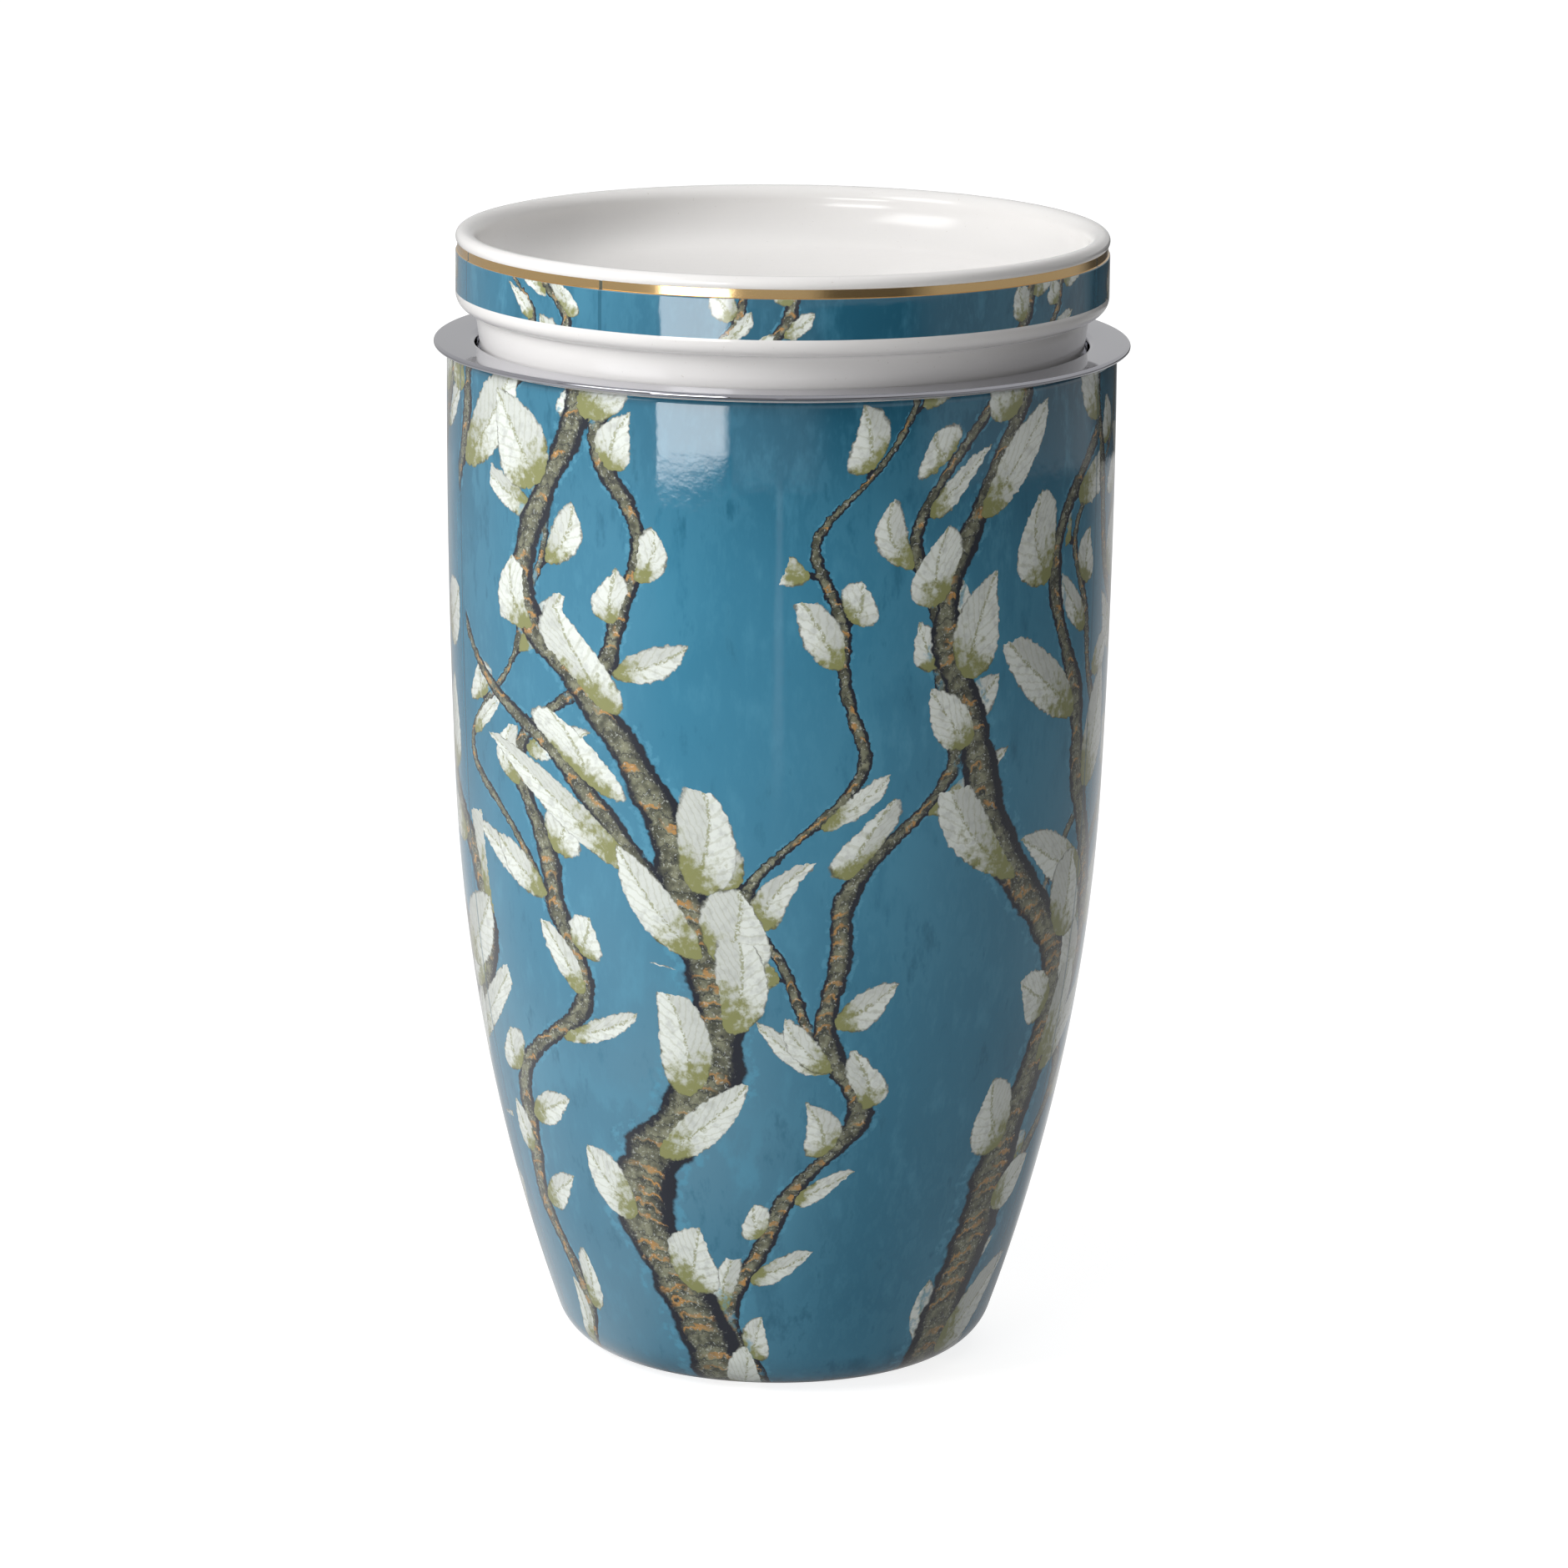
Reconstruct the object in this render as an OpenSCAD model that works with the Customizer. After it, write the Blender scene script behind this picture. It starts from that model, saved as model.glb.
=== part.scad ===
// Tea mug with a lift-out infuser and a lid that doubles as a dish.
// Millimetres, +Z up, origin at the centre of the mug's foot.
// Every piece but the sieve's holes and its lapped seam is turned about Z.

/* [Mug] */
// Height of the mug from foot to rim
mug_h = 126; // [115:1:140]
// Radius of the mug where it is widest
mug_r = 40.9; // [38:0.1:46]
// Distance from the rim down to the widest place
widest_below_rim = 7; // [3:0.5:15]
// Height at which the side starts to pull in towards the foot
belly_top_z = 71.6; // [65:0.2:80]
// Radius of the long, nearly straight arc of the side
side_arc_r = 1100; // [800:10:2000]
// Radius of the arc that pulls the side in
belly_arc_r = 232; // [200:1:280]
// Radius of the turn from the side to the foot
heel_r = 7.4; // [5:0.1:9]
// Thickness of the mug's wall
mug_wall = 2.6; // [2:0.1:3.2]
// Height of the mug's floor above the foot
mug_floor_z = 5; // [4:0.1:8]
// Radius of the turn from the floor to the wall, inside
floor_fillet_r = 9; // [6:0.1:12]
// Width of the foot ring
foot_w = 3; // [2:0.1:4]
// Depth of the recess inside the foot ring
foot_recess = 1.2; // [0.6:0.1:2]

/* [Infuser] */
// Thickness of the sheet of the brim and the sieve floor
sheet_t = 0.5; // [0.4:0.05:0.6]
// Inside radius of the bends in that sheet
bend_r = 0.5; // [0.3:0.05:0.6]
// How far the brim stands out past the widest place of the mug
brim_overhang = 1.6; // [1.5:0.1:3]
// Width of the fold under the brim's edge
hem_w = 1.3; // [1:0.1:1.4]
// Gap between the collar and the mug's mouth
collar_gap = 0.45; // [0.3:0.05:0.8]
// Depth of the ledge below the brim's top
ledge_depth = 3.25; // [2.6:0.05:5]
// Width of the ledge between the collar and the sieve wall
ledge_w = 5.8; // [4.5:0.1:8]
// Height of the skirt that holds the sieve wall
skirt_h = 6; // [4:0.1:8]
// Thickness of the sieve wall's sheet
sleeve_t = 0.4; // [0.3:0.05:0.5]
// Width of the lapped seam in the sieve wall
lap_w = 5; // [3:0.1:8]
// Height of the turned-up rim of the sieve floor
cup_h = 6.5; // [5:0.1:9]
// Depth of the infuser from the brim's top to the sieve floor's underside
infuser_depth = 75; // [55:1:80]

/* [Holes] */
// Diameter of a hole
hole_d = 1.8; // [1.2:0.1:2.4]
// Distance between the middles of neighbouring holes
hole_pitch = 4.8; // [4.4:0.1:8]
// Plain sheet left beside the holes
plain_margin = 2; // [1.5:0.1:4]

/* [Lid] */
// Height of the lid above the brim's top
lid_above_brim = 13.45; // [11.5:0.05:18]
// Radius of the lip's round, outside
lip_r = 0.9; // [0.7:0.05:1.2]
// Radius of the lip's round, towards the dish
lip_in_r = 1.6; // [1.2:0.05:1.8]
// Depth of the gilded strip set in under the lip
strip_d = 0.22; // [0.1:0.01:0.4]
// Height of that strip
strip_h = 1; // [0.6:0.05:1.4]
// Height of the straight band below the strip
band_h = 5.2; // [4.5:0.1:6.5]
// Radius of the shoulder under the band
shoulder_r = 2; // [1.5:0.1:2.5]
// Radius of the glaze in the corner between the shoulder and the neck
neck_fillet_r = 0.4; // [0.2:0.05:0.6]
// Gap between the lid's neck and the collar at the brim's top
neck_gap = 0.4; // [0.3:0.05:0.8]
// How much the neck's radius shrinks for each millimetre down
neck_taper = 0.13; // [0.05:0.01:0.2]
// Width of the neck's foot
neck_foot_w = 3.2; // [2.6:0.1:3.6]
// Radius of the turn from the lip into the dish
dish_wall_r = 5.5; // [4:0.1:6.5]
// Radius of the gently hollow floor of the dish
dish_floor_r = 200; // [150:5:400]
// Thickness of the lid at the middle of the dish
lid_floor_t = 3; // [2.5:0.1:3.5]

/* [Hidden] */
$fn = 144;
arc_error = 0.01;     // largest distance between an arc and its straight steps
rest_gap = 0.05;      // between the brim and the round rim that carries it
edge_r = 0.8;         // rounding of the lid's foot
recess_fillet_r = 2;  // rounding of the corner of the recess under the lid
seam_a = 90;          // where the seam stands, from +X

// The side of the mug is two arcs and the heel, which run into each other without a corner.
widest_z = mug_h - widest_below_rim;
side_c = [mug_r - side_arc_r, widest_z];
side_a = -asin((widest_z - belly_top_z) / side_arc_r);
belly_c = side_c + polar(side_arc_r - belly_arc_r, side_a);

// The rim is a half round on top of the wall.
rim_r = mug_wall / 2;
rim_z = mug_h - rim_r;
rim_out_a = asin((rim_z - widest_z) / side_arc_r);
rim_in_a = asin((rim_z - widest_z) / (side_arc_r - mug_wall));
mouth_r = side_c.x + (side_arc_r - mug_wall) * cos(rim_in_a);
rim_c = [(side_c.x + side_arc_r * cos(rim_out_a) + mouth_r) / 2, rim_z];

// The brim rests on the rim, and its collar hangs in the mouth.
brim_under_z = mug_h + rest_gap;
brim_z = brim_under_z + sheet_t;
brim_r = mug_r + brim_overhang;
bend_out_r = bend_r + sheet_t;
collar_r = mouth_r - collar_gap - sheet_t;
ledge_z = brim_z - ledge_depth;

// The sieve wall stands inside the skirt and inside the rim of the sieve floor.
sleeve_r = collar_r - ledge_w;
sleeve_top_z = ledge_z - bend_out_r;
skirt_end_z = sleeve_top_z - skirt_h;
cup_r = sleeve_r + sheet_t;
cup_z = brim_z - infuser_depth;
cup_bend_r = bend_r + 2 * sheet_t;
sleeve_z = cup_z + cup_bend_r;
cup_top_z = cup_z + cup_h;
lap_a = lap_w / sleeve_r * 180 / PI;

// Rows of holes fill the sieve wall between the two pieces that hold it.
hole_r = hole_d / 2;
row_pitch = hole_pitch * sin(60);
rows_z = cup_top_z + plain_margin + hole_r;
rows_h = skirt_end_z - plain_margin - hole_r - rows_z;
row_count = floor(rows_h / row_pitch) + 1;
holes_round = floor(2 * PI * sleeve_r / hole_pitch);
seam_plain_a = lap_a / 2 + (plain_margin + hole_r) / sleeve_r * 180 / PI;

// Rings of holes fill the sieve floor.
last_ring_r = cup_r - cup_bend_r - plain_margin - hole_r;
ring_count = round(last_ring_r / hole_pitch);

// The lid stands on the ledge.
neck_r = collar_r - neck_gap;
lid_top_z = brim_z + lid_above_brim;
lip_z = lid_top_z - lip_r;
lip_a = -acos((lip_r - strip_d) / lip_r);
strip_z = lip_z + lip_r * sin(lip_a) - strip_h;
shoulder_z = strip_z - band_h;
neck_top_z = shoulder_z - shoulder_r;
lid_r = neck_r_at(neck_top_z) + neck_fillet_r + shoulder_r;
lip_c = [lid_r - lip_r, lip_z];
lip_in_c = [lip_c.x, lid_top_z - lip_in_r];
dish_wall_c = [lip_in_c.x - lip_in_r - dish_wall_r, lip_in_c.y];
dish_a = -acos(dish_wall_c.x / (dish_floor_r - dish_wall_r));
dish_c = dish_wall_c - polar(dish_floor_r - dish_wall_r, dish_a);
recess_z = dish_c.y - dish_floor_r - lid_floor_t;
recess_r = neck_r_at(ledge_z) - neck_foot_w;

function polar(r, a) = r * [cos(a), sin(a)];

function neck_r_at(z) = neck_r + (z - brim_z) * neck_taper;

// Points along an arc from angle a0 to a1, without the first one where it runs on from an arc before it.
function arc(c, r, a0, a1, first = 0) =
  let (steps = max(2, ceil(abs(a1 - a0) / (2 * acos(1 - arc_error / r)))))
  [for (i = [first : steps]) c + polar(r, a0 + (a1 - a0) * i / steps)];

// Angle at which the belly arc, set in by some wall, runs into a round corner that stands on a floor.
function corner_a(inset, floor_z, r) =
  -asin((belly_c.y - floor_z - r) / (belly_arc_r - inset - r));

function corner_c(inset, floor_z, r) =
  belly_c + polar(belly_arc_r - inset - r, corner_a(inset, floor_z, r));

module turned(points) rotate_extrude() polygon(points);

module mug_body() {
  heel_a = corner_a(0, 0, heel_r);
  heel_c = corner_c(0, 0, heel_r);
  fillet_a = corner_a(mug_wall, mug_floor_z, floor_fillet_r);
  fillet_c = corner_c(mug_wall, mug_floor_z, floor_fillet_r);
  foot_in_r = heel_c.x - foot_w;
  color("steelblue") turned(concat(
    [[0, foot_recess], [foot_in_r - foot_recess, foot_recess], [foot_in_r, 0]],
    arc(heel_c, heel_r, -90, heel_a),
    arc(belly_c, belly_arc_r, heel_a, side_a, 1),
    arc(side_c, side_arc_r, side_a, rim_out_a, 1),
    arc(rim_c, rim_r, 0, 180, 1),
    arc(side_c, side_arc_r - mug_wall, rim_in_a, side_a, 1),
    arc(belly_c, belly_arc_r - mug_wall, side_a, fillet_a, 1),
    arc(fillet_c, floor_fillet_r, fillet_a, -90, 1),
    [[0, mug_floor_z]]
  ));
}

// One drawn sheet: folded edge, brim, collar, ledge and skirt, out along one face and back along the other.
module infuser_brim() {
  fold_c = [brim_r - sheet_t, brim_under_z];
  brim_bend_c = [collar_r + bend_out_r, brim_z - bend_out_r];
  ledge_bend_c = [collar_r - bend_r, ledge_z + bend_r];
  skirt_bend_c = [sleeve_r + bend_out_r, ledge_z - bend_out_r];
  color("silver") turned(concat(
    [[brim_r - hem_w, brim_under_z - sheet_t]],
    arc(fold_c, sheet_t, -90, 90),
    arc(brim_bend_c, bend_out_r, 90, 180),
    arc(ledge_bend_c, bend_r, 0, -90),
    arc(skirt_bend_c, bend_out_r, 90, 180),
    [[sleeve_r, skirt_end_z], [sleeve_r + sheet_t, skirt_end_z]],
    arc(skirt_bend_c, bend_r, 180, 90),
    arc(ledge_bend_c, bend_out_r, -90, 0),
    arc(brim_bend_c, bend_r, 180, 90),
    [[brim_r - hem_w, brim_under_z]]
  ));
}

// A stretch of the sieve wall from radius r_in out, which starts at angle a.
module wall_ring(r_in, r_out, a = 0, sweep = 360) rotate([0, 0, a]) rotate_extrude(angle = sweep)
  translate([r_in, sleeve_z]) square([r_out - r_in, sleeve_top_z - sleeve_z]);

module infuser_sleeve() {
  step_a = 360 / holes_round;
  first_row_z = rows_z + (rows_h - (row_count - 1) * row_pitch) / 2;
  color("gainsboro") difference() {
    union() {
      wall_ring(sleeve_r - sleeve_t, sleeve_r);
      wall_ring(sleeve_r - 2 * sleeve_t, sleeve_r - sleeve_t / 2, seam_a - lap_a / 2, lap_a);
    }
    for (row = [0 : row_count - 1], i = [0 : holes_round - 1]) {
      from_seam_a = (i + (row % 2) / 2) * step_a;
      if (min(from_seam_a, 360 - from_seam_a) > seam_plain_a)
        translate([0, 0, first_row_z + row * row_pitch])
          rotate([0, 90, seam_a + from_seam_a])
            translate([0, 0, sleeve_r - 3 * sleeve_t]) cylinder(r = hole_r, h = 4 * sleeve_t, $fn = 24);
    }
  }
}

// A pressed cup whose rim goes round the sieve wall, with its holes in rings.
module infuser_base() {
  bend_c = [cup_r - cup_bend_r, cup_z + cup_bend_r];
  color("silver") difference() {
    turned(concat(
      [[0, cup_z]],
      arc(bend_c, cup_bend_r, -90, 0),
      [[cup_r, cup_top_z], [sleeve_r, cup_top_z]],
      arc(bend_c, cup_bend_r - sheet_t, 0, -90),
      [[0, cup_z + sheet_t]]
    ));
    for (ring = [0 : ring_count], i = [0 : max(1, 6 * ring) - 1])
      rotate([0, 0, 360 * i / max(1, 6 * ring)])
        translate([ring / ring_count * last_ring_r, 0, cup_z - sheet_t])
          cylinder(r = hole_r, h = 3 * sheet_t, $fn = 24);
  }
}

module lid() {
  foot_z = ledge_z;
  foot_edge_z = foot_z + edge_r;
  color("white") turned(concat(
    [[0, recess_z]],
    arc([recess_r - recess_fillet_r, recess_z - recess_fillet_r], recess_fillet_r, 90, 0),
    arc([recess_r + edge_r, foot_edge_z], edge_r, 180, 270),
    arc([neck_r_at(foot_edge_z) - edge_r, foot_edge_z], edge_r, -90, 0),
    arc([neck_r_at(neck_top_z) + neck_fillet_r, neck_top_z - neck_fillet_r], neck_fillet_r, 180, 90),
    arc([lid_r - shoulder_r, shoulder_z], shoulder_r, -90, 0, 1),
    arc([lid_r - strip_d, strip_z - strip_d], strip_d, 0, 90),
    arc(lip_c, lip_r, lip_a, 90),
    arc(lip_in_c, lip_in_r, 90, 180, 1),
    arc(dish_wall_c, dish_wall_r, 0, dish_a, 1),
    arc(dish_c, dish_floor_r, dish_a, -90, 1)
  ));
}

mug_body();
infuser_brim();
infuser_sleeve();
infuser_base();
lid();
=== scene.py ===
"""Tea mug with a lift-out infuser and a lid that doubles as a dish, dressed for a picture.

Metres, +Z up, the foot of the mug stands on Z = 0 and -Y faces the viewer.
Every round piece is turned about Z from a profile of (radius, height, zone) points.
"""

import math

import bpy
from bpy.props import FloatProperty, FloatVectorProperty, IntProperty, PointerProperty
from mathutils import Matrix, Vector
from mathutils.geometry import delaunay_2d_cdt


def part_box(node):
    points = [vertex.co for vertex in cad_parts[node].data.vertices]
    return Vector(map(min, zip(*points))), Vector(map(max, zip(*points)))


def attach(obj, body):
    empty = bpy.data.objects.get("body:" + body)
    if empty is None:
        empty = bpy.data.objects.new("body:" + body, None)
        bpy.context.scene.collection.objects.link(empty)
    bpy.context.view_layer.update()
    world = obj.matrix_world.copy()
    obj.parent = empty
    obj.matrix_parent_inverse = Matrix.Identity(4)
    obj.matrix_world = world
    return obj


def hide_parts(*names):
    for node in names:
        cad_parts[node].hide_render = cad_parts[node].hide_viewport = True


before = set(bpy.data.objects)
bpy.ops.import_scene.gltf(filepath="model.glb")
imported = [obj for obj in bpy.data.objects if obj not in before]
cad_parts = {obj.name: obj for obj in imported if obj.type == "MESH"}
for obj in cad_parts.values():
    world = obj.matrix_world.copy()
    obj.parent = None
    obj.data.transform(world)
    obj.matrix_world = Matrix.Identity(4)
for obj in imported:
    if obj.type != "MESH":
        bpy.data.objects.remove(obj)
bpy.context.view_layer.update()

bl_info = {
    "name": "Tea mug with infuser",
    "version": (1, 0, 0),
    "blender": (4, 5, 0),
    "location": "View3D > Sidebar > Tea mug",
    "description": "Builds a lidded porcelain tea mug with its steel infuser",
    "category": "Add Mesh",
}

MM = 0.001
FULL_TURN = 2 * math.pi

MUG_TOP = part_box("mug_body")[1].z
BRIM_LOW, BRIM_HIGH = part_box("infuser_brim")
SLEEVE_LOW, SLEEVE_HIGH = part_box("infuser_sleeve")
CUP_LOW, CUP_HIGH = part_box("infuser_base")
LID_LOW, LID_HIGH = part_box("lid")


# ---------------------------------------------------------------- sizes and colours


def metres(name, description, default):
    """A length that the panel's groups hold."""
    return FloatProperty(name=name, description=description, default=default, unit="LENGTH")


def paint(name, description, default):
    """A colour in linear light."""
    return FloatVectorProperty(
        name=name, description=description, default=default, subtype="COLOR", size=3)


class MugSizes(bpy.types.PropertyGroup):
    """Sizes of the porcelain mug."""

    radius: metres("Radius", "Radius of the mug where it is widest", 0.0409)
    widest_below_rim: metres("Widest place", "Distance from the rim to the widest place", 0.007)
    belly_top: metres("Top of the belly", "Height at which the side starts to pull in", 0.0716)
    side_radius: metres("Side arc", "Radius of the long, nearly straight arc of the side", 1.1)
    belly_radius: metres("Belly arc", "Radius of the arc that pulls the side in", 0.232)
    heel_radius: metres("Heel", "Radius of the turn from the side to the foot", 0.0074)
    wall: metres("Wall", "Thickness of the wall", 0.0026)
    floor_height: metres("Floor", "Height of the floor above the foot", 0.005)
    floor_fillet: metres("Floor fillet", "Radius of the turn from the floor to the wall", 0.009)
    foot_width: metres("Foot ring", "Width of the foot ring", 0.003)
    foot_recess: metres("Foot recess", "Depth of the recess inside the foot ring", 0.0012)
    print_top: metres("Top of the print", "Height on the rim's round at which it ends", 0.1254)


class InfuserSizes(bpy.types.PropertyGroup):
    """Sizes of the steel infuser."""

    brim_sheet: metres("Brim sheet", "Thickness of the sheet of the brim", 0.00035)
    sheet: metres("Floor sheet", "Thickness of the sheet of the sieve floor", 0.0005)
    bend: metres("Bend", "Inside radius of the bends", 0.0005)
    hem: metres("Hem", "Width of the fold under the brim's edge", 0.0013)
    collar_radius: metres("Collar", "Inside radius of the collar", 0.037335)
    ledge_depth: metres("Ledge", "Depth of the ledge below the brim's top", 0.00325)
    wall: metres("Sieve wall", "Thickness of the sieve wall's sheet", 0.0004)
    lap: metres("Lap", "Width of the lapped seam", 0.005)
    hole: metres("Hole", "Diameter of a hole", 0.0012)
    holes_round: IntProperty(name="Holes round", description="Holes in one row", default=80)
    rows: IntProperty(name="Rows", description="Number of rows of holes", default=25)
    rings: IntProperty(name="Rings", description="Rings of holes in the sieve floor", default=11)


class LidSizes(bpy.types.PropertyGroup):
    """Sizes of the porcelain lid."""

    radius: metres("Radius", "Radius of the band", 0.039824)
    lip: metres("Lip", "Radius of the lip's round, outside", 0.0009)
    lip_inside: metres("Lip inside", "Radius of the lip's round, towards the dish", 0.0016)
    strip_depth: metres("Strip depth", "Depth of the gilded strip under the lip", 0.00022)
    strip_height: metres("Strip height", "Height of the gilded strip", 0.001)
    band_height: metres("Band", "Height of the straight band", 0.0052)
    shoulder: metres("Shoulder", "Radius of the shoulder under the band", 0.002)
    neck_fillet: metres("Neck fillet", "Radius of the corner of shoulder and neck", 0.0004)
    neck_taper: FloatProperty(
        name="Neck taper", description="How much the neck's radius shrinks on the way down",
        default=0.13,
    )
    neck_radius: metres("Neck", "Radius of the neck at the brim's top", 0.036935)
    neck_foot: metres("Neck foot", "Width of the neck's foot", 0.0032)
    dish_wall: metres("Dish wall", "Radius of the turn from the lip into the dish", 0.0055)
    dish_floor: metres("Dish floor", "Radius of the gently hollow floor of the dish", 0.2)
    floor_thickness: metres("Floor", "Thickness at the middle of the dish", 0.003)
    foot_edge: metres("Foot edge", "Rounding of the neck's foot", 0.0008)
    recess_fillet: metres("Recess fillet", "Rounding of the corner of the recess", 0.002)


class Colours(bpy.types.PropertyGroup):
    """Colours of the porcelain, the print and the steel."""

    porcelain: paint("Porcelain", "White glaze", (0.83, 0.815, 0.80))
    biscuit: paint("Bare foot", "Unglazed porcelain", (0.70, 0.67, 0.62))
    ground: paint("Ground", "Teal ground of the print", (0.052, 0.222, 0.342))
    # Also the colour of the painted shade at the top and towards the bottom of the ground.
    ground_deep: paint("Deep ground", "Darker patches of the ground", (0.014, 0.102, 0.168))
    ground_light: paint("Light ground", "Lighter brush marks", (0.10, 0.33, 0.47))
    bark: paint("Stem", "Olive brown of the stems", (0.085, 0.088, 0.064))
    bark_light: paint("Light stem", "Grey green strokes on the stems", (0.26, 0.265, 0.18))
    ochre: paint("Ochre", "Ochre strokes on the stems", (0.50, 0.27, 0.09))
    outline: paint("Outline", "Dark outline of the motifs", (0.022, 0.025, 0.035))
    # Also the colour of the painted pale reflection low down on the left of the ground.
    leaf: paint("Leaf", "Pale leaves", (0.78, 0.82, 0.77))
    leaf_green: paint("Leaf green", "Green at the root of a leaf", (0.26, 0.27, 0.11))
    gold: paint("Gold", "Gold line on the lid", (0.80, 0.55, 0.26))
    steel: paint("Steel", "Stainless steel", (0.53, 0.53, 0.575))


class StageSizes(bpy.types.PropertyGroup):
    """Camera and floor."""

    camera_back: metres("Camera distance", "How far it stands in front of the axis", 0.867)
    camera_height: metres("Camera height", "Height of the camera above the floor", 0.2655)
    camera_side: metres("Camera side", "How far it stands to the right of the axis", 0.0007)
    camera_dip: FloatProperty(
        name="Camera dip", description="Angle by which the camera looks down",
        default=math.radians(12.66), unit="ROTATION",
    )
    camera_roll: FloatProperty(
        name="Camera roll", description="Turn of the camera about its own line of sight",
        default=math.radians(0.5), unit="ROTATION",
    )
    lens: FloatProperty(
        name="Lens", description="Focal length in millimetres on a 36 mm frame", default=164.87,
    )
    floor_size: metres("Floor", "Side of the square floor", 12.0)


# ---------------------------------------------------------------- shader expressions


def math_method(operation):
    """A method of Field for one of Python's operators."""
    return lambda field, *others: field.finish.math(operation, field, *others)


class Field:
    """One output of a shader node. Arithmetic on it adds Math nodes."""

    def __init__(self, finish, socket):
        self.finish = finish
        self.socket = socket

    def __rsub__(self, other):
        return self.finish.math("SUBTRACT", other, self)

    __add__ = __radd__ = math_method("ADD")
    __sub__ = math_method("SUBTRACT")
    __mul__ = __rmul__ = math_method("MULTIPLY")
    __truediv__ = math_method("DIVIDE")
    __abs__ = math_method("ABSOLUTE")
    __gt__ = math_method("GREATER_THAN")
    __lt__ = math_method("LESS_THAN")


class Finish:
    """A material or a world in the making: nodes are added by name and tied by expressions."""

    def __init__(self, name, kind="materials"):
        self.block = getattr(bpy.data, kind).new(name)
        self.block.use_nodes = True
        self.tree = self.block.node_tree
        self.tree.nodes.clear()

    def node(self, kind, settings=None, sockets=None, output=0):
        """Adds a node: its settings first, then the values or links of its sockets."""
        made = self.tree.nodes.new("ShaderNode" + kind)
        for key, value in (settings or {}).items():
            setattr(made, key, value)
        for key, value in (sockets or {}).items():
            if isinstance(value, Field):
                self.tree.links.new(value.socket, made.inputs[key])
            else:
                made.inputs[key].default_value = value
        return Field(self, made.outputs[output]) if made.outputs else made

    def math(self, operation, *operands):
        return self.node("Math", {"operation": operation}, dict(enumerate(operands)))

    def smooth(self, value, low, high):
        """0 below low, 1 above high, with a soft step between. low may be above high."""
        return self.node(
            "MapRange", {"interpolation_type": "SMOOTHSTEP"},
            {"Value": value, "From Min": low, "From Max": high},
        )

    def band(self, value, low, high, soft):
        """1 between low and high, 0 outside."""
        above = self.smooth(value, low - soft, low + soft)
        return above * self.smooth(value, high + soft, high - soft)

    def chances(self, dimensions, seed):
        """Three chances from 0 to 1, which stay the same wherever the seed does."""
        return self.split(self.node(
            "TexWhiteNoise", {"noise_dimensions": dimensions},
            {"W" if dimensions == "1D" else "Vector": seed}, "Color"))

    def mix(self, share, first, second):
        """Colour mix of two colours, each a tuple or a Field."""
        colours = [c if isinstance(c, Field) else (*c, 1) for c in (first, second)]
        return self.node(
            "Mix", {"data_type": "RGBA"}, {0: share, 6: colours[0], 7: colours[1]}, 2)

    def layers(self, colour, *coats):
        """Paints coats of (share, colour) over a colour, one after the other."""
        for share, coat in coats:
            colour = self.mix(share, colour, coat)
        return colour

    def object_place(self):
        """Place on the piece, in metres, which stays with the piece when it moves."""
        return self.node("TexCoord", output="Object")

    def split(self, vector):
        """The three parts of a vector or a colour."""
        parts = self.node("SeparateXYZ", sockets={0: vector})
        return [Field(self, output) for output in parts.socket.node.outputs]

    def join(self, *parts):
        return self.node("CombineXYZ", sockets=dict(enumerate(parts)))

    def noise(self, place, scale, detail=2, roughness=0.5, stretch=None, output="Fac"):
        if stretch:
            place = self.node("Mapping", sockets={"Vector": place, "Scale": stretch})
        return self.node(
            "TexNoise", sockets={
                "Vector": place, "Scale": scale, "Detail": detail, "Roughness": roughness,
            }, output=output,
        )

    def bump(self, height, distance, strength=1.0, normal=None):
        sockets = {"Height": height, "Distance": distance, "Strength": strength}
        if normal:
            sockets["Normal"] = normal
        return self.node("Bump", sockets=sockets)

    def end(self, shader):
        """Ends the material in a shader."""
        self.node("OutputMaterial", sockets={"Surface": shader})
        return self.block

    def glowing(self, strength):
        """Ends the material as light of a strength."""
        return self.end(self.node("Emission", sockets={"Strength": strength}))

    def surface(self, **sockets):
        """Ends the material in a Principled shader. A socket's name has _ for its blanks."""
        named = {key.replace("_", " "): value for key, value in sockets.items()}
        return self.end(self.node("BsdfPrincipled", sockets=named))


# ---------------------------------------------------------------- the print

PRINT_RADIUS_MM = 40.9
SHAKE_MM = 0.85
JOINT_HALF_MM, JOINT_SOFT_MM = 0.25, 0.05
MUG_JOINTS = (-71.0, 68.5)
LID_JOINTS = (-72.5, -32.5, 72.3)


def round_mm(finish, place):
    """Distance round the piece from -Y, in millimetres."""
    x, y, _ = finish.split(place)
    return finish.math("ARCTAN2", x, y * -1) * PRINT_RADIUS_MM


def print_place(finish, place, wobble_mm, wobble_size_mm):
    """(distance round, height) on the piece in millimetres, with a hand-painted wobble."""
    drift = finish.split(finish.noise(place, 1 / wobble_size_mm / MM, 1, output="Color"))
    shake = finish.split(finish.noise(place, 1.3 / MM, 2, output="Color"))
    straight = (round_mm(finish, place), finish.split(place)[2] / MM)
    return [
        straight[n] + (drift[n] - 0.5) * wobble_mm * 2 + (shake[n] - 0.5) * SHAKE_MM
        for n in (0, 1)
    ]


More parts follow.
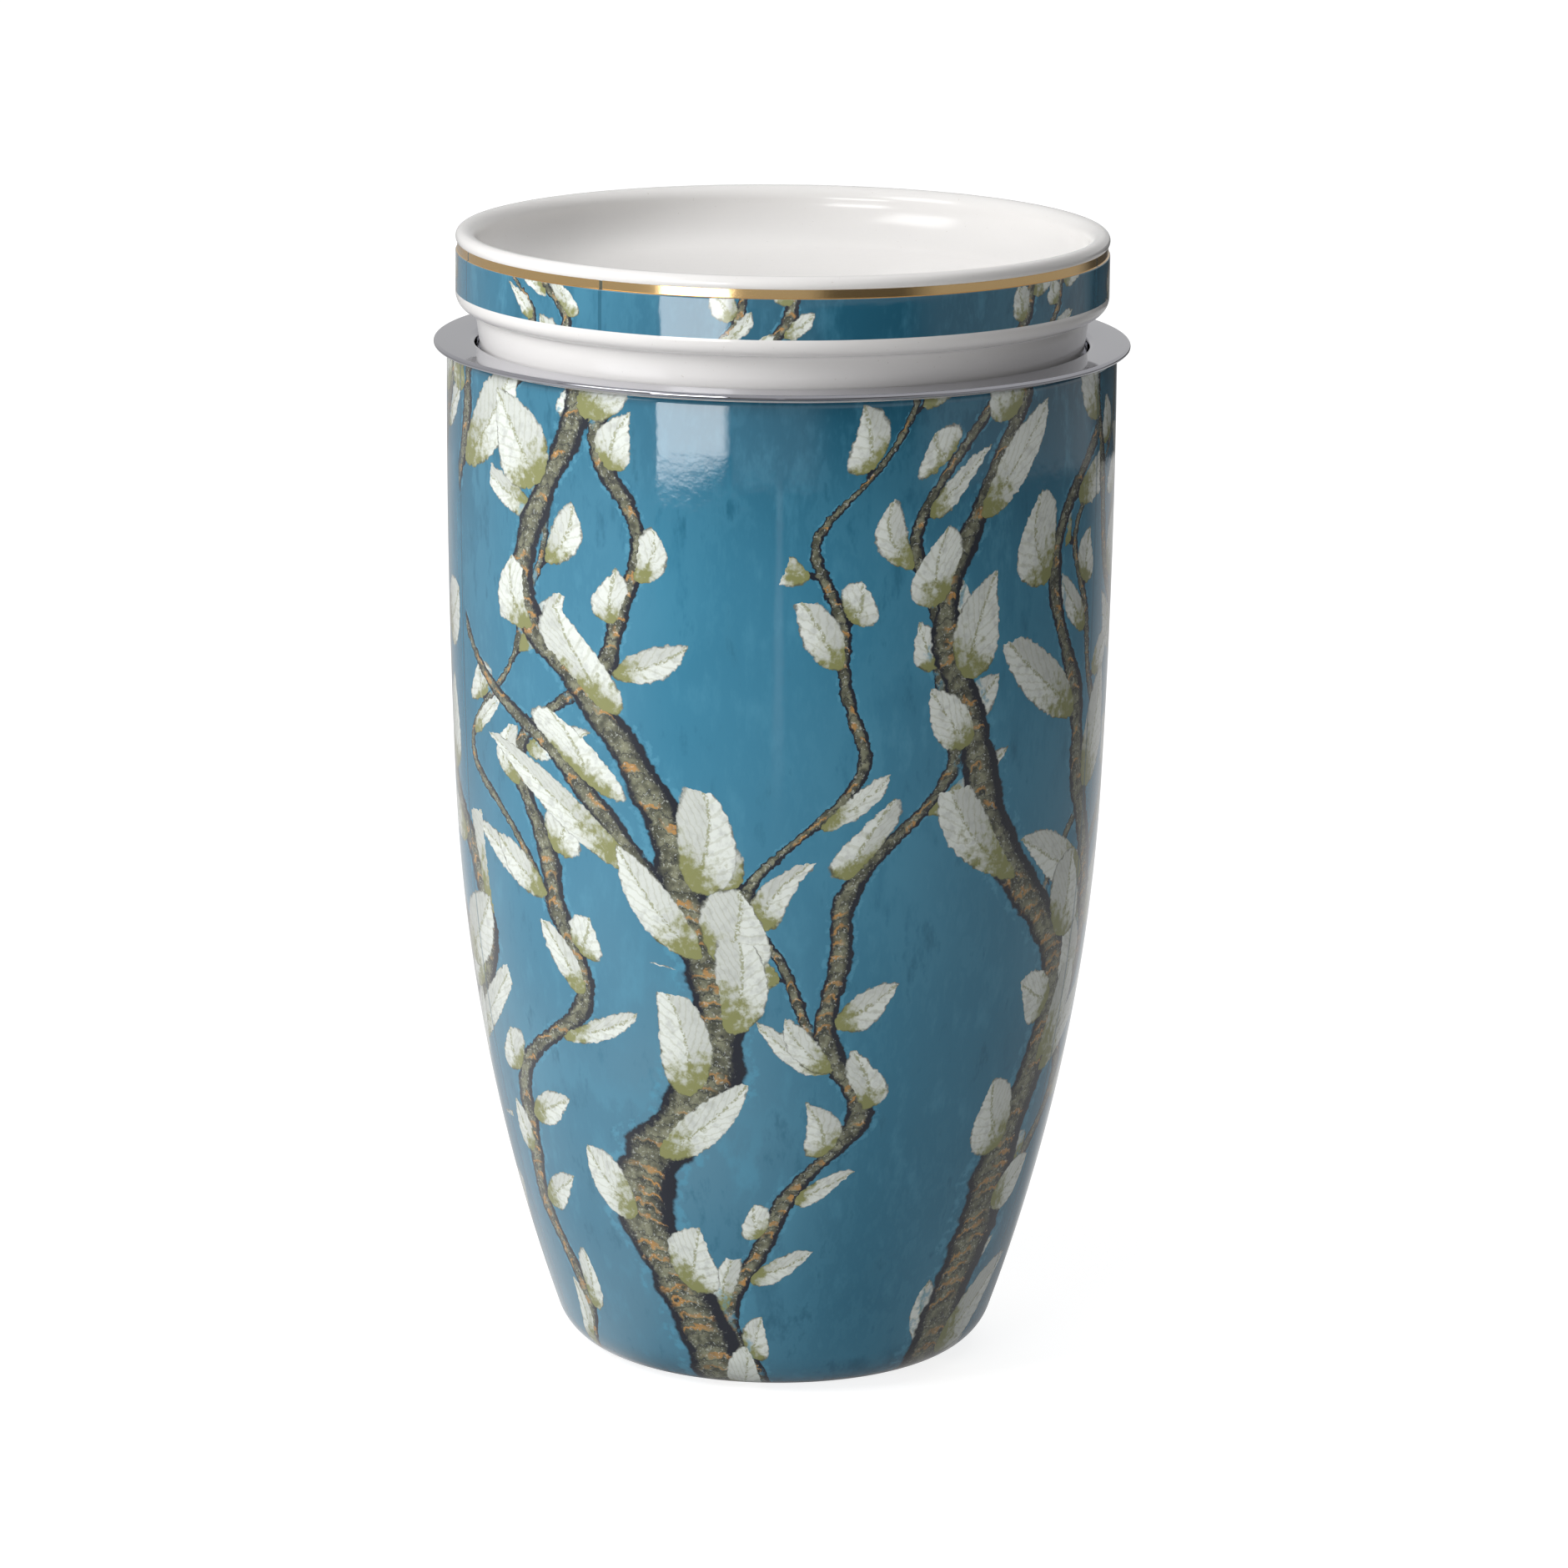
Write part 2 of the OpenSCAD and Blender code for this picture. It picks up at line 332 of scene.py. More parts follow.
def climbing_stem(finish, around, height, family):
    """One family of stems that climb round the piece, each of which forks once.

    Gives the number of the nearest stem, its own chances, the distances from the stem and from
    its branch, and the height at which it forks.
    """
    count, swing = family["count"], family["swing"]
    spacing = FULL_TURN * PRINT_RADIUS_MM / count
    lane = (around + height * family["slope"]) / spacing + (family["shift"] + count / 2)
    lane_number = finish.math("FLOORED_MODULO", finish.math("FLOOR", lane), count)
    local = (finish.math("FRACT", lane) - 0.5) * spacing
    chance = finish.chances("1D", lane_number + family["seed"])
    turn = height * (FULL_TURN / family["wave"]) + chance[0] * FULL_TURN
    centre = finish.math("SINE", turn) * swing + finish.math(
        "SINE", turn * 2.3 + chance[1] * FULL_TURN) * (swing * 0.3)
    away = local - centre
    fork = chance[1] * family["fork_range"] + family["fork_low"]
    spread = ((chance[2] > 0.5) * 2 - 1) * family["spread"]
    branch_away = away - finish.smooth(height, fork - 2, fork + family["fork_rise"]) * spread
    return lane_number, chance, away, branch_away, fork


def bark_shape(finish, away, height, lane_number, family, share_of_width):
    """Place across a knobby stem, 0 in its middle and 1 at its edge. It thins towards the top."""
    growth = finish.smooth(height, 0.0, family["top"])
    knots = finish.noise(
        finish.join(height * 0.17, lane_number * 5 + family["seed"] * share_of_width, 0.0), 1.0, 3)
    thick, thin = family["thick"], family["thin"]
    half_width = (thick + growth * (thin - thick)) * (knots * 0.85 + 0.08) * share_of_width
    return away / half_width


def leaf_shape(finish, away, height, lane_number, start, family):
    """Leaves left and right of a stem, one in every stretch of it: masks and places on a leaf."""
    leaf_mm, stalk = family["leaf"], family["stalk"]
    right = away > 0
    slot = height / family["pitch"] + right * 0.5 + start
    slot_number = finish.math("FLOOR", slot)
    chance = finish.chances("3D", finish.join(slot_number, lane_number + family["seed"], right))
    up = (slot - slot_number) * family["pitch"] - 0.25 * leaf_mm
    out = abs(away)
    lean = chance[0] * 0.9 + 0.4
    lean_sine = finish.math("SINE", lean)
    lean_cosine = finish.math("COSINE", lean)
    along = out * lean_sine + up * lean_cosine - stalk
    length = leaf_mm * (chance[1] * 0.5 + 0.5)
    share = along / length
    share_in = finish.math("MINIMUM", finish.math("MAXIMUM", share, 0), 1)
    bow = (share_in * share_in - share_in * 0.3) * (0.16 * leaf_mm)
    across = out * lean_cosine - up * lean_sine + bow
    outline = finish.math("SQRT", share_in) * (1 - share_in * share_in) * family["leaf_width"]
    depth = outline - abs(across)
    shown = chance[2] < family["leafy"]
    on_stalk = (share < 0.1) * (share > -0.9 * stalk / leaf_mm - 0.1) * (up > 0.3 - 0.25 * leaf_mm)
    return {
        "stalk": finish.smooth(abs(across), 0.5, 0.35) * on_stalk * shown,
        "leaf": finish.smooth(depth, 0.0, 0.18) * shown,
        "depth": depth,
        "across": across,
        "along": along,
        "root": share_in,
        "chance": chance,
    }


def paint_bark(finish, colours, side, height, strokes, specks):
    """Olive grey bark with ochre crescents, dark rings, specks and a dark outline."""
    rings = height * 0.55 + side * side * 0.7 + strokes * 1.6
    ring_number = finish.math("FLOOR", rings)
    ring_share = rings - ring_number
    ring_chance = finish.chances("1D", ring_number)
    crescent = finish.band(ring_share, 0.30, 0.55, 0.08) * (ring_chance[0] > 0.35)
    crescent = crescent * finish.smooth(side * (ring_chance[1] - 0.5) * 4, -0.4, 0.2)
    dark = colours.outline
    return finish.layers(
        colours.bark,
        (finish.smooth(strokes, 0.35, 0.65), colours.bark_light),
        (finish.smooth(specks, 0.54, 0.74) * 0.45, dark),
        (finish.smooth(side + strokes * 0.6, 0.45, 1.0) * 0.7, dark),
        (finish.band(ring_share, 0.02, 0.14, 0.06) * 0.7, dark),
        (crescent * 0.9, colours.ochre),
        (finish.smooth(specks, 0.40, 0.30) * 0.35, colours.leaf),
        (finish.smooth(abs(side) + strokes * 0.8 + side * 0.12, 0.90, 1.20), dark),
    )


def darker(colour, share):
    return tuple(share * c for c in colour)


def paint_leaf(finish, colours, shape, strokes, specks):
    """Pale leaf, green at its root and along its rib."""
    grey, green = darker(colours.leaf, 0.60), colours.leaf_green
    vein_slant, vein_pitch_mm = 1.4, 1.7
    away_from_rib = abs(shape["across"])
    veins = (shape["along"] - away_from_rib * vein_slant) * (FULL_TURN / vein_pitch_mm)
    rib = finish.smooth(away_from_rib, 0.34, 0.10) * finish.smooth(specks, 0.62, 0.45)
    shaded_side = shape["chance"][1] * finish.smooth(shape["across"], 0.6, -0.6)
    return finish.layers(
        colours.leaf,
        (finish.smooth(strokes, 0.45, 0.72) * 0.55, grey),
        (shaded_side * 0.6, grey),
        (finish.smooth(shape["root"] + strokes * 0.9 - 0.45, 0.42, 0.10), green),
        (finish.smooth(finish.math("SINE", veins), 0.55, 0.95) * 0.20, green),
        (rib * 0.7, green),
        (finish.smooth(shape["depth"] + strokes * 0.9, 0.85, 0.45) * 0.85, colours.bark),
    )


def paint_family(finish, colours, below, around, height, strokes, specks, family):
    """Paints one family of stems and leaves over the colour below."""
    lane_number, chance, away, branch_away, fork = climbing_stem(finish, around, height, family)
    branch_width = 0.62
    whorls = [
        (
            bark_shape(finish, across, height, lane_number, family, width), grown,
            leaf_shape(finish, across, height, lane_number + shift, start, family),
        )
        for across, width, grown, shift, start in (
            (branch_away, branch_width, height > fork, 7, chance[0]),
            (away, 1.0, 1, 0, chance[2]),
        )
    ]
    painted = below
    for side, grown, leaf in whorls:
        stem = finish.smooth(abs(side), 1.12, 0.98)
        halo = finish.band(abs(side), 1.1, 1.5, 0.1) * finish.smooth(strokes, 0.45, 0.60) * grown
        painted = finish.mix(halo * 0.6, painted, colours.ground_light)
        bark = paint_bark(finish, colours, side, height, strokes, specks)
        painted = finish.mix(finish.math("MAXIMUM", stem, leaf["stalk"]) * grown, painted, bark)
    for _, grown, leaf in whorls:
        pale = paint_leaf(finish, colours, leaf, strokes, specks)
        painted = finish.mix(leaf["leaf"] * grown, painted, pale)
    return painted


def decal_joints(finish, place, angles):
    """Thin upright lines where the sheets of the print overlap, at angles in degrees from -Y."""
    around = round_mm(finish, place)
    return sum(
        finish.smooth(
            abs(around - math.radians(angle) * PRINT_RADIUS_MM),
            JOINT_HALF_MM + JOINT_SOFT_MM, JOINT_HALF_MM - JOINT_SOFT_MM)
        for angle in angles
    )


# Heights in millimetres between which the painted shade at the top, the painted pale reflection low
# down and the painted shade towards the bottom fade.
TOP_SHADE_MM = (98, 127)
LOW_REFLECTION_MM = (85, 30)
LOW_SHADE_MM = (80, 35)


def ground_colour(finish, colours, place):
    """Teal ground with brush marks and soft clouds. Painted shade darkens its top, more on the
    right, and its lower part; a painted pale reflection lies low down on the left.
    """
    x, _, z = finish.split(place)
    height = z / MM
    deep, light = colours.ground_deep, colours.ground_light
    clouds = finish.split(finish.noise(place, 18, 2, 0.5, output="Color"))
    brush = finish.noise(place, 300, 4, 0.65, stretch=(1, 1, 0.4))
    to_the_right = finish.smooth(x, -0.025, 0.008)
    to_the_left = finish.smooth(x, 0.015, -0.020)
    # Painted shade: darker towards the top, more so on the right.
    top = finish.smooth(height, *TOP_SHADE_MM) * (to_the_right * 0.55 + 0.4)
    # Painted reflection: a pale veil in patches low down, which is laid on the left side only.
    low_reflection = finish.smooth(height, *LOW_REFLECTION_MM) * finish.smooth(clouds[1], 0.25, 0.65)
    # Painted shade: darker towards the bottom.
    low = finish.smooth(height, *LOW_SHADE_MM) * 0.2
    return finish.layers(
        colours.ground,
        (finish.smooth(clouds[0], 0.42, 0.75) * 0.35, deep),
        # Painted shade at the top and towards the bottom, then the painted pale reflection.
        (finish.math("MAXIMUM", top, low), deep),
        (low_reflection * to_the_left * 0.13, colours.leaf),
        (finish.smooth(brush, 0.48, 0.75) * 0.35, light),
        (finish.band(clouds[2] + brush * 0.4, 0.66, 0.72, 0.03) * 0.2, light),
        (finish.smooth(brush, 0.44, 0.25) * 0.45, deep),
    )


def glaze_bump(finish, place):
    """The faint waves of fired glaze, which bend the reflections a little."""
    waves = finish.bump(finish.noise(place, 35, 1), 0.0006, 0.25)
    return finish.bump(finish.noise(place, 900, 2), 0.00003, 0.25, waves)


THICK_STEMS = {
    "count": 5, "shift": 0.15, "seed": 7.0, "slope": 0.16, "swing": 8.0, "wave": 84,
    "thick": 10.0, "thin": 3.0, "top": 135, "fork_low": 20, "fork_range": 45, "fork_rise": 40,
    "spread": 19, "pitch": 18, "leaf": 17.5, "leaf_width": 7.0, "stalk": 1.8, "leafy": 0.86,
}
THIN_STEMS = {
    "count": 6, "shift": 0.6, "seed": 31.0, "slope": -0.24, "swing": 5.0, "wave": 47,
    "thick": 3.6, "thin": 1.8, "top": 150, "fork_low": 30, "fork_range": 50, "fork_rise": 25,
    "spread": 13, "pitch": 12, "leaf": 11, "leaf_width": 4.4, "stalk": 1.4, "leafy": 0.72,
}
LID_SPRIGS = {
    "count": 8, "shift": 0.5, "seed": 3.0, "slope": 0.0, "swing": 3.0, "wave": 21,
    "thick": 2.4, "thin": 1.6, "top": 160, "fork_low": 100, "fork_range": 35, "fork_rise": 8,
    "spread": 6, "pitch": 6.2, "leaf": 5.8, "leaf_width": 2.9, "stalk": 0.7, "leafy": 0.8,
}


GLAZE_IOR = 1.52
PRINT_ROUGHNESS, PRINT_COAT_ROUGHNESS = 0.055, 0.02


def paint_print(finish, colours, place, wobble, stroke_scale, families):
    """The ground and its families of stems. wobble gives its millimetres and its size."""
    around, height = print_place(finish, place, *wobble)
    strokes = finish.noise(place, stroke_scale, 3, 0.6)
    specks = finish.noise(place, 3200, 1)
    painted = ground_colour(finish, colours, place)
    for family in families:
        painted = paint_family(finish, colours, painted, around, height, strokes, specks, family)
    return painted


def make_mug_print(colours):
    """Glaze with the printed picture of climbing stems."""
    finish = Finish("mug_print")
    place = finish.object_place()
    painted = paint_print(finish, colours, place, (7.0, 45), 800, (THIN_STEMS, THICK_STEMS))
    joints = decal_joints(finish, place, MUG_JOINTS)
    return finish.surface(
        Base_Color=finish.mix(joints * 0.5, painted, colours.ground_deep),
        Roughness=PRINT_ROUGHNESS, Normal=glaze_bump(finish, place), IOR=GLAZE_IOR,
        Coat_Weight=0.4, Coat_Roughness=PRINT_COAT_ROUGHNESS,
    )


def make_porcelain(colours):
    """White glaze with a few brown pits."""
    finish = Finish("porcelain_glaze")
    place = finish.object_place()
    pit_brown = (0.42, 0.36, 0.30)
    tone = finish.noise(place, 60, 3)
    colour = finish.mix(tone * 0.35, colours.porcelain, darker(colours.porcelain, 0.93))
    pits = finish.smooth(finish.noise(place, 2600, 1), 0.74, 0.80)
    return finish.surface(
        Base_Color=finish.mix(pits * 0.25, colour, pit_brown), Roughness=0.15,
        Normal=glaze_bump(finish, place), IOR=GLAZE_IOR, Coat_Weight=0.2, Coat_Roughness=0.10,
    )


def make_biscuit(colours):
    """Bare fired porcelain on the surfaces that stood in the kiln."""
    finish = Finish("bare_porcelain")
    place = finish.object_place()
    grain = finish.noise(place, 1800, 4, 0.7)
    colour = finish.mix(grain * 0.5, colours.biscuit, darker(colours.biscuit, 0.75))
    return finish.surface(
        Base_Color=colour, Roughness=0.75, Normal=finish.bump(grain, 0.00006, 0.6),
    )


def make_steel(name, colours, roughness, brush_scale):
    """Stainless steel with the fine round marks of polishing."""
    finish = Finish(name)
    place = finish.object_place()
    x, y, z = finish.split(place)
    radius = finish.math("SQRT", x * x + y * y)
    marks = finish.noise(finish.join(radius, z, 0.0), brush_scale, 3, 0.6)
    smears = finish.noise(place, 90, 3, 0.6)
    colour = finish.mix(smears * 0.3, colours.steel, darker(colours.steel, 0.82))
    return finish.surface(
        Base_Color=colour, Metallic=1.0,
        Roughness=roughness * (smears * 0.5 + marks * 0.4 + 0.8),
        Normal=finish.bump(marks, 0.000004, 0.35),
    )


# ---------------------------------------------------------------- turned pieces


def polar(centre, radius, angle):
    return centre[0] + radius * math.cos(angle), centre[1] + radius * math.sin(angle)


def circle(centre, radius, count):
    return [polar(centre, radius, FULL_TURN * i / count) for i in range(count)]


ARC_ERROR, BEND_ERROR = 0.000004, 0.000002
SHARP_ANGLE = math.radians(32)


def arc(centre, radius, start, end, zone, first=0, error=ARC_ERROR):
    """Points of an arc from one angle to another, in degrees. first=1 leaves out its first."""
    start, end = math.radians(start), math.radians(end)
    steps = max(3, math.ceil(abs(end - start) / (2 * math.acos(1 - error / radius))))
    return [
        (*polar(centre, radius, start + (end - start) * i / steps), zone)
        for i in range(first, steps + 1)
    ]


def bend_arc(centre, radius, start, end):
    """An arc fine enough for a bend in sheet metal."""
    return arc(centre, radius, start, end, 0, error=BEND_ERROR)


def new_object(name, data):
    made = bpy.data.objects.new(name, data)
    bpy.context.scene.collection.objects.link(made)
    return made


def new_piece(name, vertices, faces, materials, zones):
    """A mesh object whose faces take the material of their zone."""
    mesh = bpy.data.meshes.new(name)
    mesh.from_pydata(vertices, [], faces)
    for material in materials:
        mesh.materials.append(material)
    mesh.polygons.foreach_set("material_index", zones)
    mesh.polygons.foreach_set("use_smooth", [True] * len(faces))
    mesh.set_sharp_from_angle(angle=SHARP_ANGLE)
    mesh.update()
    return new_object(name, mesh)


def turned_piece(name, profile, materials, segments=256):
    """Turns a closed profile about Z. A point's zone is that of the face from it to the next point.

    The profile either closes on itself, or starts and ends on the axis.
    """
    on_axis = profile[0][0] == 0 and profile[-1][0] == 0
    rings = []
    vertices = []
    for radius, height, _ in profile:
        if radius == 0:
            rings.append([len(vertices)] * segments)
            vertices.append((0, 0, height))
            continue
        rings.append(list(range(len(vertices), len(vertices) + segments)))
        vertices += [(*corner, height) for corner in circle((0, 0), radius, segments)]
    faces, zones = [], []
    count = len(profile)
    for k in range(count - 1 if on_axis else count):
        low, high = rings[k], rings[(k + 1) % count]
        for i in range(segments):
            j = (i + 1) % segments
            corners = [low[i], low[j], high[j], high[i]]
            corners = [c for n, c in enumerate(corners) if c != corners[n - 1]]
            faces.append(corners)
            zones.append(profile[k][2])
    return new_piece(name, vertices, faces, materials, zones)


def drop_doubles(profile, nearest=1e-7):
    """Leaves out each point that lies on the one after it, so the later zone holds."""
    kept = []
    for here, after in zip(profile, profile[1:] + profile[:1]):
        if math.dist(here[:2], after[:2]) > nearest:
            kept.append(here)
    return kept


def finish_piece(piece, body, slot, *nodes):
    """Ties a piece to the body it moves with and hides the nodes it stands for. slot is not used."""
    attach(piece, body)
    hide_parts(*nodes)


def mug_profile(size):
    """The mug from the middle of its underside round the rim to the middle of its floor."""
    printed, glaze, bare = 0, 1, 2
    widest = MUG_TOP - size.widest_below_rim
    side_c = (size.radius - size.side_radius, widest)
    side_a = -math.degrees(math.asin((widest - size.belly_top) / size.side_radius))
    belly_c = polar(side_c, size.side_radius - size.belly_radius, math.radians(side_a))

    def corner(inset, floor, radius):
        angle = -math.asin((belly_c[1] - floor - radius) / (size.belly_radius - inset - radius))
        return math.degrees(angle), polar(belly_c, size.belly_radius - inset - radius, angle)

    glaze_edge_a = -84
    heel_a, heel_c = corner(0, 0, size.heel_radius)
    fillet_a, fillet_c = corner(size.wall, size.floor_height, size.floor_fillet)
    rim_z = MUG_TOP - size.wall / 2
    rim_out_a = math.degrees(math.asin((rim_z - widest) / size.side_radius))
    rim_in_a = math.degrees(math.asin((rim_z - widest) / (size.side_radius - size.wall)))
    print_a = math.degrees(math.asin((size.print_top - rim_z) / (size.wall / 2)))
    rim_out_r = side_c[0] + size.side_radius * math.cos(math.radians(rim_out_a))
    rim_in_r = side_c[0] + (size.side_radius - size.wall) * math.cos(math.radians(rim_in_a))
    rim_c = ((rim_out_r + rim_in_r) / 2, rim_z)
    foot_in = heel_c[0] - size.foot_width
    return (
        [(0, size.foot_recess, glaze), (foot_in - size.foot_recess, size.foot_recess, glaze)]
        + [(foot_in, 0, bare)]
        + arc(heel_c, size.heel_radius, -90, glaze_edge_a, bare)
        + arc(heel_c, size.heel_radius, glaze_edge_a, heel_a, printed)
        + arc(belly_c, size.belly_radius, heel_a, side_a, printed, 1)
        + arc(side_c, size.side_radius, side_a, rim_out_a, printed, 1)
        + arc(rim_c, size.wall / 2, 0, print_a, printed)
        + arc(rim_c, size.wall / 2, print_a, 180, glaze)
        + arc(side_c, size.side_radius - size.wall, rim_in_a, side_a, glaze, 1)
        + arc(belly_c, size.belly_radius - size.wall, side_a, fillet_a, glaze, 1)
        + arc(fillet_c, size.floor_fillet, fillet_a, -90, glaze, 1)
        + [(0, size.floor_height, glaze)]
    )


class MUG_OT_body(bpy.types.Operator):
    """Turn the porcelain mug"""

    bl_idname = "teamug.body"
    bl_label = "Mug"

    def execute(self, context):
        colours = context.scene.mug_colours
        materials = [make_mug_print(colours), make_porcelain(colours), make_biscuit(colours)]
        profile = drop_doubles(mug_profile(context.scene.mug_sizes))
        piece = turned_piece("porcelain_mug", profile, materials)
        finish_piece(piece, "mug", "decorated_porcelain", "mug_body")
        return {"FINISHED"}


BAND_MARGIN = 0.0003
PRINT_MARGIN = 0.00012


def strip_place(size):
    """Angle at which the lip's round meets the gilded strip, and the strip's two heights."""
    angle = -math.acos((size.lip - size.strip_depth) / size.lip)
    high = LID_HIGH.z - size.lip + size.lip * math.sin(angle)
    return math.degrees(angle), high - size.strip_height, high


def lid_profile(size):
    """The lid from the middle of its underside round the neck and lip to the middle of the dish."""
    printed, glaze, bare = 0, 1, 2
    foot = LID_LOW.z
    brim_top = BRIM_HIGH.z

    def neck_at(height):
        return size.neck_radius + (height - brim_top) * size.neck_taper

    lip_a, strip_z, _ = strip_place(size)
    shoulder_z = strip_z - size.band_height
    neck_top = shoulder_z - size.shoulder
    lip_c = (size.radius - size.lip, LID_HIGH.z - size.lip)
    lip_in_c = (lip_c[0], LID_HIGH.z - size.lip_inside)
    wall_c = (lip_c[0] - size.lip_inside - size.dish_wall, lip_in_c[1])
    dish_a = -math.degrees(math.acos(wall_c[0] / (size.dish_floor - size.dish_wall)))
    dish_c = (0, wall_c[1] - (size.dish_floor - size.dish_wall) * math.sin(math.radians(dish_a)))
    recess_z = dish_c[1] - size.dish_floor - size.floor_thickness
    recess_r = neck_at(foot) - size.neck_foot
    edge = size.foot_edge
    fillet = size.neck_fillet
    return (
        [(0, recess_z, glaze)]
        + arc((recess_r - size.recess_fillet, recess_z - size.recess_fillet), size.recess_fillet,
              90, 0, glaze)
        + arc((recess_r + edge, foot + edge), edge, 180, 270, bare)
        + arc((neck_at(foot + edge) - edge, foot + edge), edge, -90, 0, bare)
        + [(neck_at(foot + edge), foot + edge, glaze)]
        + arc((neck_at(neck_top) + fillet, neck_top - fillet), fillet, 180, 90, glaze)
        + arc((size.radius - size.shoulder, shoulder_z), size.shoulder, -90, 0, glaze, 1)
        + [(size.radius, shoulder_z + PRINT_MARGIN, printed)]
        + arc((size.radius - size.strip_depth, strip_z - size.strip_depth), size.strip_depth,
              0, 90, printed)
        + arc(lip_c, size.lip, lip_a, 0, printed)
        + arc(lip_c, size.lip, 0, 90, glaze)
        + arc(lip_in_c, size.lip_inside, 90, 180, glaze, 1)
        + arc(wall_c, size.dish_wall, 0, dish_a, glaze, 1)
        + arc(dish_c, size.dish_floor, dish_a, -90, glaze, 1)[:-1]
        + [(0, dish_c[1] - size.dish_floor, glaze)]
    )


def make_lid_print(colours, band_low_mm, strip_low_mm, strip_high_mm):
    """Glaze with the gold line, painted shade in its groove, and the printed band of the lid."""
    finish = Finish("lid_print")
    place = finish.object_place()
    height = finish.split(place)[2] / MM
    band_high_mm, edge_mm = strip_low_mm - 0.1, 0.02
    gold_low_mm, gold_high_mm, gold_edge_mm = strip_low_mm - 0.06, strip_high_mm + 0.03, 0.03
    painted = paint_print(finish, colours, place, (0.8, 12), 900, (LID_SPRIGS,))
    joints = decal_joints(finish, place, LID_JOINTS)
    painted = finish.mix(joints * 0.7, painted, colours.ground_deep)
    on_band = finish.band(height, band_low_mm, band_high_mm, edge_mm)
    # Painted shade: the groove of the gilded strip is painted dark where the gold line leaves it
    # bare, along the gold's lower edge and at its breaks at the joints.
    groove_shade = finish.band(height, band_high_mm, strip_high_mm, edge_mm)
    gold_line = finish.band(height, gold_low_mm, gold_high_mm, gold_edge_mm) * (1 - joints)
    colour = finish.layers(
        colours.porcelain, (groove_shade, colours.bark), (on_band, painted), (gold_line, colours.gold))
    return finish.surface(
        Base_Color=colour, Metallic=gold_line * 0.92, Normal=glaze_bump(finish, place),
        Roughness=PRINT_ROUGHNESS + gold_line * 0.06, IOR=GLAZE_IOR,
        Coat_Weight=0.3 - gold_line * 0.3, Coat_Roughness=PRINT_COAT_ROUGHNESS,
    )


class MUG_OT_lid(bpy.types.Operator):
    """Turn the porcelain lid"""

    bl_idname = "teamug.lid"
    bl_label = "Lid"

    def execute(self, context):
        size = context.scene.lid_sizes
        colours = context.scene.mug_colours
        _, strip_low, strip_high = strip_place(size)
        band_low = strip_low - size.band_height + BAND_MARGIN
        materials = [
            make_lid_print(colours, band_low / MM, strip_low / MM, strip_high / MM),
            make_porcelain(colours),
            make_biscuit(colours),
        ]
        piece = turned_piece("porcelain_lid", drop_doubles(lid_profile(size)), materials)
        finish_piece(piece, "lid", "white_porcelain", "lid")
        return {"FINISHED"}


def brim_profile(size):
    """The brim's sheet: out along one face and back along the other."""
    sheet, bend = size.brim_sheet, size.bend
    bend_out = bend + sheet
    under = BRIM_HIGH.z - sheet
    ledge = BRIM_HIGH.z - size.ledge_depth
    fold_c = (BRIM_HIGH.x - sheet, under)
    brim_c = (size.collar_radius + bend_out, BRIM_HIGH.z - bend_out)
    ledge_c = (size.collar_radius - bend, ledge + bend)
    skirt_r = SLEEVE_HIGH.x
    skirt_c = (skirt_r + bend_out, ledge - bend_out)
    hem_r = BRIM_HIGH.x - size.hem
    return (
        [(hem_r, under - sheet, 0)]
        + bend_arc(fold_c, sheet, -90, 90)
        + bend_arc(brim_c, bend_out, 90, 180)
        + bend_arc(ledge_c, bend, 0, -90)
        + bend_arc(skirt_c, bend_out, 90, 180)
        + [(skirt_r, BRIM_LOW.z, 0), (skirt_r + sheet, BRIM_LOW.z, 0)]
        + bend_arc(skirt_c, bend, 180, 90)
        + bend_arc(ledge_c, bend_out, -90, 0)
        + bend_arc(brim_c, bend, 180, 90)
        + [(hem_r, under, 0)]
    )


class MUG_OT_brim(bpy.types.Operator):
    """Draw the infuser's brim, collar, ledge and skirt from one sheet"""

    bl_idname = "teamug.brim"
    bl_label = "Infuser brim"

    def execute(self, context):
        size = context.scene.infuser_sizes
        steel = make_steel("polished_steel", context.scene.mug_colours, 0.03, 2200)
        piece = turned_piece("steel_brim", brim_profile(size), [steel])
        finish_piece(piece, "infuser", "polished_steel", "infuser_brim")
        return {"FINISHED"}


HOLE_CORNERS = 12
PLAIN_EDGE = 0.0012
SEAM_MARGIN = 0.0015
FLOOR_MARGIN = 0.0014
SAME_POINT = 1e-9


class SheetMesh:
    """Collects the points of a mesh under names, so that faces beside each other share them."""

    def __init__(self):
        self.points = []
        self.faces = []
        self.known = {}

    def point(self, key, place):
        if key not in self.known:
            self.known[key] = len(self.points)
            self.points.append(place)
        return self.known[key]

    def strip(self, low, high):
        """Faces between two closed rings of points, facing out where high is above low."""
        count = len(low)
        self.faces += [
            [low[i], low[(i + 1) % count], high[(i + 1) % count], high[i]] for i in range(count)
        ]

    def cell(self, border, hole):
        """Faces between a cell's border of 8 points and its hole of 12."""
        for n in range(4):
            side, corner, next_side = (border[(2 * n + k) % 8] for k in range(3))
            rim = [hole[(3 * n + k) % HOLE_CORNERS] for k in range(4)]
            self.faces += [
                [side, corner, rim[1], rim[0]], [corner, rim[2], rim[1]],
                [corner, next_side, rim[3], rim[2]],
            ]


def on_cylinder(radius, angle, height):
    return radius * math.cos(angle), radius * math.sin(angle), height


